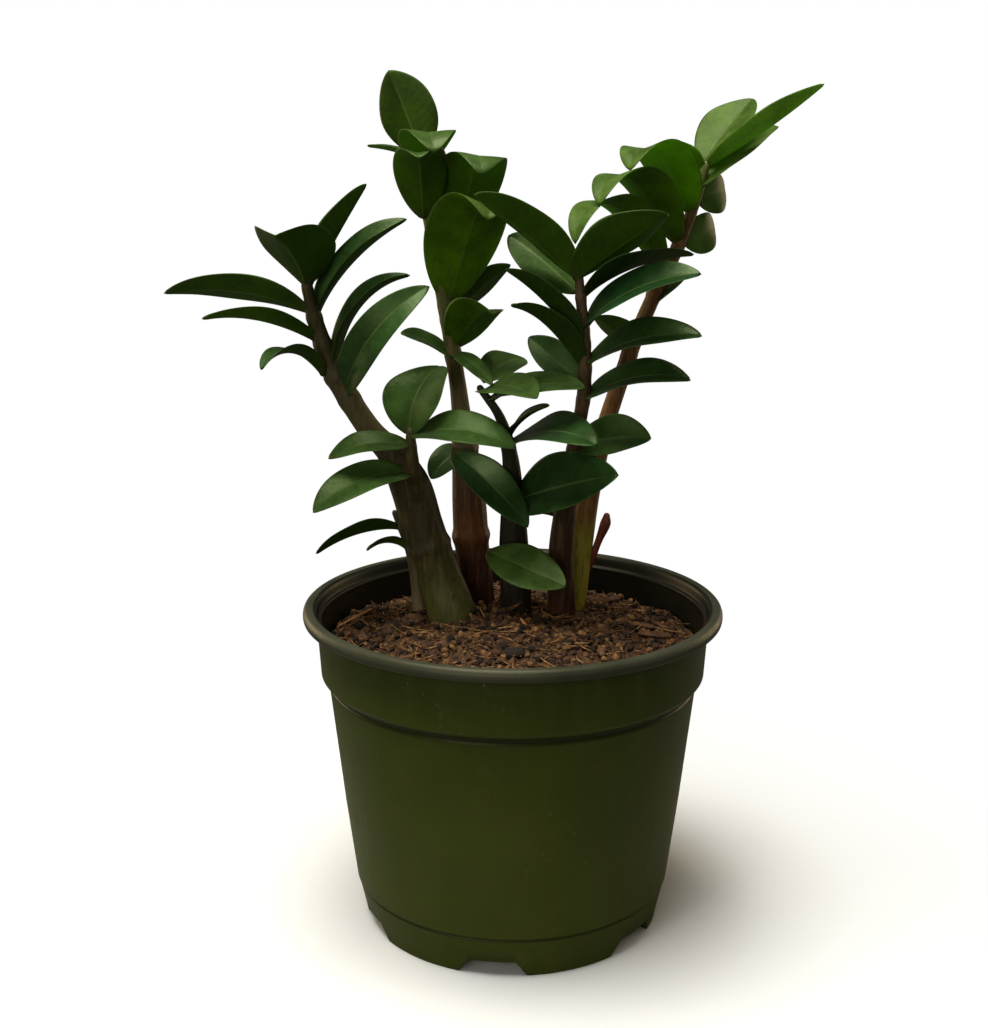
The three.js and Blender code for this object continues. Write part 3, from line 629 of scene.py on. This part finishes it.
def leaf_skin():
    """Leathery leaf: two greens by age on the upper face and two on the under face, a pale midrib
    and margin, faint side veins that run forward, cloudy tone, a wax gloss, and light that
    comes through the blade."""
    material, tree, shader, place = new_finish("leaf_skin")
    blade = wire(tree, "Attribute", {"attribute_name": "blade"}).outputs["Vector"]
    blade = wire(tree, "SeparateXYZ", None, Vector=blade)
    u, v, side = sums(tree, "ABSOLUTE", blade.outputs[0]), blade.outputs[1], blade.outputs[2]
    age = wire(tree, "Attribute", {"attribute_name": "age"}).outputs["Fac"]
    cloud = grain(tree, place, 95, 4, 0.6)
    mottle = grain(tree, place, 620, 3, 0.6)
    upper = blended(tree, age, paint(31, 66, 29), paint(122, 154, 66))
    under = blended(tree, age, paint(29, 50, 5), paint(104, 148, 0))
    colour = blended(tree, side, under, upper)
    shade = sums(tree, "ADD", sums(tree, "MULTIPLY", cloud, 0.7), sums(tree, "MULTIPLY", mottle, 0.3))
    colour = blended(tree, eased(tree, shade, 0.4, 0.62, 0.55, 0), colour, paint(16, 34, 12))
    ahead = sums(tree, "SUBTRACT", sums(tree, "MULTIPLY", v, 11), sums(tree, "MULTIPLY", u, 1.7))
    vein = sums(tree, "SINE", sums(tree, "MULTIPLY", ahead, 6.2832))
    vein = sums(tree, "MULTIPLY", eased(tree, vein, 0.6, 1, 0, 0.03), eased(tree, u, 0.05, 0.3))
    colour = blended(tree, vein, colour, paint(112, 140, 84))
    rib = sums(tree, "MULTIPLY", eased(tree, u, 0.015, 0.05, 0.3, 0), eased(tree, v, 0.7, 1, 1, 0))
    colour = blended(tree, rib, colour, paint(128, 148, 84))
    colour = blended(tree, eased(tree, u, 0.95, 1, 0, 0.3), colour, paint(120, 142, 84))
    colour = blended(tree, eased(tree, v, 0.02, 0.12, 0.7, 0), colour, paint(70, 66, 36))
    tree.links.new(colour, shader.inputs["Base Color"])
    rough = eased(tree, cloud, 0.3, 0.7, 0.52, 0.66)
    rough = sums(tree, "SUBTRACT", rough, sums(tree, "MULTIPLY", side, 0.22))
    tree.links.new(rough, shader.inputs["Roughness"])
    shader.inputs["Specular IOR Level"].default_value = 0.35
    shader.inputs["Specular Tint"].default_value = (0.8, 1, 0.45, 1)
    raised(tree, shader, sums(tree, "ADD", sums(tree, "MULTIPLY", vein, -3.0), mottle), 0.0001)
    light = wire(tree, "BsdfTranslucent", None,
                 Color=blended(tree, 0.6, colour, paint(140, 190, 20)))
    through = eased(tree, age, 0, 1, 0.12, 0.62)
    both = wire(tree, "MixShader", None, Fac=through, _1=shader.outputs[0], _2=light.outputs[0])
    tree.links.new(both.outputs[0], tree.nodes["Material Output"].inputs["Surface"])
    return material


leaf = leaf_skin()


def add_leaflets(frond, stalk, rows):
    """One piece for each row of a frond, in place of its node: left_leaf_1, left_leaf_2 and so on."""
    for number, row in enumerate(rows, 1):
        name = f"{frond}_leaf_{number}"
        seed = sum(ord(letter) for letter in frond) + number
        points, blade = leaflet_points(stalk, row[:14], seed)
        mesh = skin(name + "_blade", points, {"blade": blade, "age": np.full(points.shape[:2], row[14])})
        put(name + "_blade", mesh, leaf, "leaf_blade", name)


def add_small_leaf(name, stalk, row):
    """A leaflet that has only begun to grow, a piece of its own that hides no node: its stalk's node holds
    it.
    """
    points, blade = leaflet_points(stalk, row[:14], len(name), 28, 8)
    mesh = skin(name, points, {"blade": blade, "age": np.full(points.shape[:2], row[14])})
    put(name, mesh, leaf, "leaf_blade")


def add_stalk(name, rows, leaflets, material, **more):
    """A stalk in place of its node, with a swollen ring at the foot of each leaflet."""
    mesh = skin(name + "_skin", stalk_points(rows, [row[0] for row in leaflets], **more))
    put(name + "_skin", mesh, material, "stem_skin", name)


# The left and centre stalks also have an old ring, at this height, with no leaflet on it.
OLD_RING = (148,)
left_skin = stalk_skin("left_stalk_skin", [
    (112, paint(78, 80, 30)), (132, paint(66, 66, 28)), (150, paint(54, 48, 26)),
    (180, paint(66, 58, 32)), (200, paint(80, 72, 44)), (250, paint(60, 54, 32)),
], paint(104, 92, 48))
add_stalk("left_stem", LEFT_STALK, [OLD_RING] + LEFT_LEAFLETS, left_skin, ridge=0.06)
add_leaflets("left", LEFT_STALK, LEFT_LEAFLETS)

# ---------------------------------------------------------------------------------------------
# Side shoot of the left frond
# A short shoot that leaves the thick stalk where it thins. Its four leaflets spread flat to the
# front and catch the light.
# ---------------------------------------------------------------------------------------------
SIDE_STALK = [(-38, 15, 160, 5), (-39.5, 9, 174, 3.8), (-39.5, 4, 186, 2.8), (-39.5, 0, 198, 1.4)]
SIDE_LEAFLETS = [
    (196, -28, 15, 221, -0.7, -0.8, 0.4, 31, 75, 1, 15, 0, 0, 0, 0.25),
    (196, 1, -15, 194, 0.1, -0.6, 1, 20, 60, 1.3, 15, 0, 0, 0, 0.2),
    (192, -71, -5, 188, -0.1, -0.5, 1, 15, 50, 1.3, 15, 0, 0, 0, 0.25),
    (180, -76, -15, 169, -0.1, -0.6, 1, 19, 60, 1.3, 15, 0, 0, 0, 0.25),
]
add_stalk("short_left_stem", SIDE_STALK, SIDE_LEAFLETS, left_skin)
add_leaflets("short_left", SIDE_STALK, SIDE_LEAFLETS)

# ---------------------------------------------------------------------------------------------
# Thin left frond
# A young thin stalk behind the thick one, pale at its bulbous foot, with one dark leaflet and a
# small one that curls down.
# ---------------------------------------------------------------------------------------------
THIN_STALK = [(-39, 24, 106, 2.4), (-39, 24, 124, 2.6), (-42, 24, 143, 1.9), (-48, 23, 160, 1.2)]
THIN_LEAFLETS = [
    (154, -79, 10, 146, 0, 0.6, 1, 16, 40, 1, 20, 0, 0, 0, 0.1),
]
thin_skin = stalk_skin("thin_stalk_skin", [
    (114, paint(150, 136, 96)), (122, paint(120, 108, 74)), (132, paint(84, 76, 48)),
    (160, paint(52, 52, 28)),
], paint(150, 138, 104), 0.3)
add_stalk("thin_left_stem", THIN_STALK, THIN_LEAFLETS, thin_skin)
add_leaflets("thin_left", THIN_STALK, THIN_LEAFLETS)
add_small_leaf("thin_left_small_leaf", THIN_STALK,
               (144, -59, 15, 146, 0, 0.6, 1, 8, 90, 1, 20, 0, 0, 0, 0.3))

# ---------------------------------------------------------------------------------------------
# Centre frond
# A thick stalk in a dry red-brown sheath that ends a third of the way up, and above it a straight
# green rachis. Its upper leaflets arch back over it, so their bright undersides face the front.
# ---------------------------------------------------------------------------------------------
CENTRE_STALK = [
    (-13, 32, 104, 6), (-14, 31.5, 122, 6.4), (-17, 30, 146, 7), (-18, 29, 165, 6.8),
    (-19.5, 28, 186, 5), (-22, 27, 210, 3.4), (-26, 26, 238, 2.9), (-31, 26, 264, 2.4),
    (-34, 27, 284, 2), (-37, 28, 306, 1.1),
]
CENTRE_LEAFLETS = [
    (305, -48, 28, 333, 0.3, 1, 0.3, 25, 6, 1, 15, 1, 0, -3.5, 0.2),
    (295, -29, -7, 302, -0.2, 1, 1, 22, 110, 1.8, 10, 0, 0, 0, 0.45),
    (277, -34.3, -10, 300, -0.1, 1, 1, 22, 95, 2.4, 20, -1.8, -4.8, 0, 0.35),
    (271, -12, -8, 294, -0.04, 1, 0.9, 25.5, 132, 2.6, 6, 11.2, 3.8, 1, 0.35),
    (243, -9.5, -13, 278, -0.1, 1, 1, 32, 130, 2.8, 18, 1, 0, 0, 0.75),
    (225, -8, 0, 243, 0, 1, 1, 22, 75, 2, 25, 0, 0, 0, 0.5),
    (222, -44, 15, 234, 0, -0.5, 1, 14, 30, 1, 15, 0, 0, 0, 0.3),
    (224, -8, 5, 215, 0, -0.5, 1, 9, 30, 1, 15, 0, 0, 0, 0.3),
    (238, -1, 36, 259, 0, 1, 1, 14, 30, 1, 15, 2, 2, 0, 0.1),
    (186, -33, 19, 175, 0, -0.6, 1, 14, 50, 1, 15, 0, 0, 0, 0.1),
    (186, 6, -5, 161, 0.3, -0.8, 0.6, 18, 30, 1, 15, -5, -8, 0, 0.05),
    (150, 21, -8, 138, 0, -0.7, 0.7, 20, 0, 1, 15, 7, -20, -3, 0.4),
]
centre_skin = stalk_skin("centre_stalk_skin", [
    (115, paint(48, 24, 15)), (140, paint(56, 28, 16)), (150, paint(92, 56, 28)),
    # The pale stop at 200 mm is a painted highlight across the stalk.
    (165, paint(74, 48, 28)), (185, paint(70, 60, 38)), (200, paint(116, 104, 72)),
    (215, paint(80, 78, 40)), (300, paint(84, 104, 40)),
], paint(132, 84, 40))
add_stalk("centre_stem", CENTRE_STALK, [OLD_RING] + CENTRE_LEAFLETS, centre_skin, ridge=0.06)
add_leaflets("centre", CENTRE_STALK, CENTRE_LEAFLETS)
add_small_leaf("centre_small_leaf", CENTRE_STALK,
               (300, -58, 40, 305, 0, 0, 1, 9, 20, 1, 20, 0, 0, 0, 0.4))

# ---------------------------------------------------------------------------------------------
# Middle frond
# A dark upright stalk between the others that turns left at the top. Its leaflets lie flat, glossy
# and dark, at the front of the plant.
# ---------------------------------------------------------------------------------------------
MIDDLE_STALK = [
    (2, 20, 106, 6), (1.5, 20, 124, 6.3), (0.5, 19, 146, 6), (0, 17, 166, 4.6), (-1, 14, 185, 3.2),
    (-5, 12, 201, 2), (-13, 12, 213, 1.2),
]
MIDDLE_LEAFLETS = [
    (211, 9, -20, 214, 0, -0.6, 1, 20, 40, 1, 15, 0, 0, 0, 0.35),
    (208, 27, -15, 217, 0, -0.6, 1, 16, 40, 1, 15, 0, 0, 0, 0.3),
    (190, 31, -25, 197, 0, -0.6, 1, 24, 50, 2, 15, 0, 0, 0, 0.05),
    (166, 40, -15, 184, 0, -0.9, 0.7, 28, 20, 1, 20, 0, 0, 0, 0.05),
    (213, 4, 32, 222, 0, -0.5, 1, 18, 40, 1, 15, 1, 2, 2, 0.3),
]
middle_skin = stalk_skin("middle_stalk_skin", [
    (112, paint(34, 24, 15)), (150, paint(30, 26, 16)), (180, paint(40, 40, 22)),
    (212, paint(54, 56, 30)),
], paint(66, 54, 36), 0.4)
add_stalk("middle_stem", MIDDLE_STALK, MIDDLE_LEAFLETS, middle_skin)
add_leaflets("middle", MIDDLE_STALK, MIDDLE_LEAFLETS)
add_small_leaf("middle_small_leaf", MIDDLE_STALK,
               (192, 14, -5, 209, 0, -0.5, 1, 9, 40, 1, 20, 0, 0, 0, 0.2))

# ---------------------------------------------------------------------------------------------
# Right-centre frond
# A straight grey-brown stalk, thicker and browner at its foot. Dark narrow leaflets stand out in
# two ranks, glossy above with a thin pale margin.
# ---------------------------------------------------------------------------------------------
RIGHT_CENTRE_STALK = [
    (20, 20, 104, 5.2), (20, 19, 122, 5.6), (19.5, 16, 146, 5), (21.5, 12, 168, 4.2),
    (24, 6, 190, 3), (27, 0, 212, 2.6), (27, -4, 231, 2.3), (25.5, -7, 246, 2), (24, -9, 259, 1.4),
]
RIGHT_CENTRE_LEAFLETS = [
    (256, -14, -30, 288, 0.4, 0.8, 0.7, 21, 15, 1.3, 35, 0, 0, 0, 0.25),
    (250, -2, 5, 272, -0.2, -0.7, 0.7, 20, 20, 1, 20, -1, 2, 1, 0.2),
    (232, -3, -17, 261, 0.3, 0.4, 1, 16, 25, 1.5, 35, -1, -2, 0, 0.05),
    (222, -1, -20, 248, 0.3, 0.4, 1, 16, 45, 2.5, 35, 0, 0, 0, 0.05),
    (215, 6, 12, 233, 0, -1, 0.5, 14, 30, 1, 15, 0, 0, 0, 0.1),
    (258, 55, -25, 281, -0.3, 0.8, 0.8, 26, 12, 1, 25, -2, 0, -2, 0.15),
    (250, 66, -13, 266, -0.2, 0.2, 1, 22, 40, 1, 25, 0, 0, 0, 0),
    (238, 67, -28, 260, -0.2, -0.6, 1, 21, 48, 1, 22, 0, 0, 0, 0),
    (224, 69, -20, 237, -0.1, -0.5, 1, 21, 45, 1.3, 20, 0, 0, 0, 0.1),
    (210, 66, -15, 220, -0.1, -0.5, 1, 19, 55, 1.5, 20, 0, 0, 0, 0.1),
    (190, 53, -4, 196, 0, -0.8, 0.8, 21, 40, 1, 25, 1, 2, 0, 0.2),
]
right_centre_skin = stalk_skin("right_centre_stalk_skin", [
    (112, paint(74, 42, 24)), (130, paint(60, 37, 22)), (160, paint(56, 42, 27)),
    (200, paint(82, 62, 42)), (255, paint(88, 70, 47)),
], paint(104, 82, 54), 0.45)
add_stalk("right_centre_stem", RIGHT_CENTRE_STALK, RIGHT_CENTRE_LEAFLETS, right_centre_skin)
add_leaflets("right_centre", RIGHT_CENTRE_STALK, RIGHT_CENTRE_LEAFLETS)
add_small_leaf("right_centre_small_leaf", RIGHT_CENTRE_STALK,
               (160, 5, 31, 158, 0, 0.3, 1, 9, 30, 1, 20, 0, 0, 0, 0.1))

# ---------------------------------------------------------------------------------------------
# Right frond
# The longest stalk, yellow-green at its foot and brown to reddish above, leaning right and back.
# Its leaflets are the freshest: the top ones pale green, the arched ones below glowing.
# ---------------------------------------------------------------------------------------------
RIGHT_STALK = [
    (24.5, 31, 104, 5), (25.5, 31, 122, 5.3), (27.8, 31, 143, 5.2), (30.8, 33, 164, 4.8), (36.2, 36, 187, 4),
    (41, 39, 203, 3.5), (48, 42, 224, 3.3), (56, 45, 243, 3), (64, 48, 259, 2.7), (72, 50, 279, 2.2),
    (77.5, 50, 298, 1.4),
]
RIGHT_LEAFLETS = [
    (297, 119, 30, 328, 0.3, -0.5, -1, 17, 12, 1, -40, 0, 0, 0, 0.9),
    (297, 98, 68, 324, -0.3, -0.6, 1, 24, 10, 1, 20, -1, 4, 1, 1),
    (288, 108, 64, 313, -0.3, -0.5, 1, 21, 30, 1, 20, 0, 0, 0, 0.9),
    (278, 44, 13.5, 295.5, 0.5, 0.9, 0.9, 25, 122, 2.4, 14, 0, 0, 0, 0.8),
    (265, 32, 2, 283, 0.5, 0.9, 0.9, 23, 118, 2.3, 14, 0, 0, 0, 0.7),
    (254, 23, -2, 269, 0.5, 0.9, 0.9, 20, 130, 1.9, 14, 0, 0, 0, 0.8),
    (283, 87, 66, 288, 1, -1, 0.1, 16, 50, 1.6, 15, 0, 0, 0, 0.5),
    (267, 83, 64, 273, 1, -1, 0.1, 17, 50, 1.6, 15, 0, 0, 0, 0.4),
    (222, 32, 20, 240, 0.3, 0.7, 0.8, 16, 40, 1, 20, 0, 0, 0, 0.3),
]
right_skin = stalk_skin("right_stalk_skin", [
    (114, paint(110, 76, 36)), (120, paint(176, 164, 54)), (145, paint(146, 140, 44)),
    (160, paint(116, 80, 36)), (200, paint(112, 74, 37)), (260, paint(102, 70, 35)),
    (285, paint(96, 76, 40)), (300, paint(90, 110, 50)),
], paint(156, 128, 64), 0.4)
add_stalk("right_stem", RIGHT_STALK, RIGHT_LEAFLETS, right_skin, ridge=0.05)
add_leaflets("right", RIGHT_STALK, RIGHT_LEAFLETS)
add_small_leaf("right_small_leaf_1", RIGHT_STALK,
               (296, 62, 52, 307, 0.3, 0.5, 1, 10, 20, 1, 20, 0, 0, 0, 0.9))
add_small_leaf("right_small_leaf_2", RIGHT_STALK,
               (240, 75, 60, 256, -0.3, -0.5, 1, 14, 40, 1, 20, 0, 0, 0, 0.3))

# ---------------------------------------------------------------------------------------------
# Dry stub
# A short dead branch low on the right stalk, dry and brittle: a thin red-brown stick that ends in
# a knob.
# ---------------------------------------------------------------------------------------------
DRY_STUB = [(29.5, 31, 130, 1.3), (32.5, 30.5, 138, 1.5), (35.5, 29.5, 147, 1.5),
            (38, 29, 154, 2.1), (38.6, 29, 157.5, 1.3)]
stub_skin = stalk_skin("dry_stub_skin", [
    (115, paint(82, 44, 28)), (145, paint(112, 54, 34)), (158, paint(92, 44, 30)),
], paint(150, 80, 60), 0.4)
stub_mesh = skin("dry_stub", stalk_points(DRY_STUB, ridge=0.15, seed=5))
put("dry_stub", stub_mesh, stub_skin, "dead_stalk", "cut_stub")

# ---------------------------------------------------------------------------------------------
# Floor, light and camera
# A pale floor that fades into a white background, a broad soft light overhead, a weaker one from
# the front left, two low warm ones behind, and a camera in front of the pot, looking a little down.
# ---------------------------------------------------------------------------------------------
scene = bpy.context.scene
CAMERA_PLACE = (0, -550, 299)
CAMERA_AIM = (-7.3, 0, 165.2)


def floor_paint():
    """Flat white that is whole near the pot and clears away from it. The camera sees it white, and
    the plant gets a dimmer bounce from it."""
    material, tree, shader, place = new_finish("floor_paint")
    shader.inputs["Base Color"].default_value = (0.9, 0.9, 0.89, 1)
    shader.inputs["Roughness"].default_value = 0.9
    away = wire(tree, "VectorMath", {"operation": "LENGTH"}, _0=place).outputs["Value"]
    clear = wire(tree, "BsdfTransparent").outputs[0]
    seen = wire(tree, "LightPath").outputs["Is Camera Ray"]
    dim = wire(tree, "BsdfDiffuse", None, Color=(0.3, 0.29, 0.24, 1)).outputs[0]
    white = wire(tree, "MixShader", None, Fac=seen, _1=dim, _2=shader.outputs[0]).outputs[0]
    both = wire(tree, "MixShader", None, Fac=eased(tree, away, 0.1, 0.26), _1=white, _2=clear)
    tree.links.new(both.outputs[0], tree.nodes["Material Output"].inputs["Surface"])
    return material


floor_mesh = skin("studio_floor", turned([(0, 0), (300, 0), (900, 0)], 96))
floor_mesh.materials.append(floor_paint())
floor = bpy.data.objects.new("studio_floor", floor_mesh)
scene.collection.objects.link(floor)


def soft_light(name, place, size, power, colour):
    """A square lamp, size metres wide, aimed at the middle of the plant."""
    lamp = bpy.data.lights.new(name, "AREA")
    lamp.size, lamp.energy, lamp.color = size, power, colour
    holder = bpy.data.objects.new(name, lamp)
    holder.location = place
    aim = Vector(in_metres((0, 0, 190))) - Vector(place)
    holder.rotation_euler = aim.to_track_quat("-Z", "Y").to_euler()
    scene.collection.objects.link(holder)


soft_light("overhead", (-0.2, -0.16, 1.4), 0.8, 26, (1, 0.98, 0.92))
soft_light("front_left", (-0.7, -1.5, 0.6), 1.1, 8.0, (1, 0.97, 0.9))
soft_light("back_left", (-0.95, 0.75, 0.3), 0.6, 4.0, (1, 0.76, 0.48))
soft_light("back_right", (1.05, 0.8, 0.3), 0.7, 3.6, (1, 0.78, 0.48))

world = bpy.data.worlds.new("studio")
scene.world = world
world.use_nodes = True
sky = world.node_tree
seen = wire(sky, "LightPath").outputs["Is Camera Ray"]
plain = wire(sky, "Background", None, Color=(1, 1, 1, 1), Strength=1.0).outputs[0]
fill = wire(sky, "Background", None, Color=(1, 0.96, 0.8, 1), Strength=0.11).outputs[0]
either = wire(sky, "MixShader", None, Fac=seen, _1=fill, _2=plain).outputs[0]
sky.links.new(either, sky.nodes["World Output"].inputs["Surface"])
scene.view_settings.view_transform = "Standard"

lens = bpy.data.cameras.new("camera")
lens.lens, lens.sensor_width = 50.74, 36
camera = bpy.data.objects.new("camera", lens)
camera.location = in_metres(CAMERA_PLACE)
aim = Vector(in_metres(CAMERA_AIM)) - camera.location
camera.rotation_euler = aim.to_track_quat("-Z", "Y").to_euler()
scene.collection.objects.link(camera)
scene.camera = camera
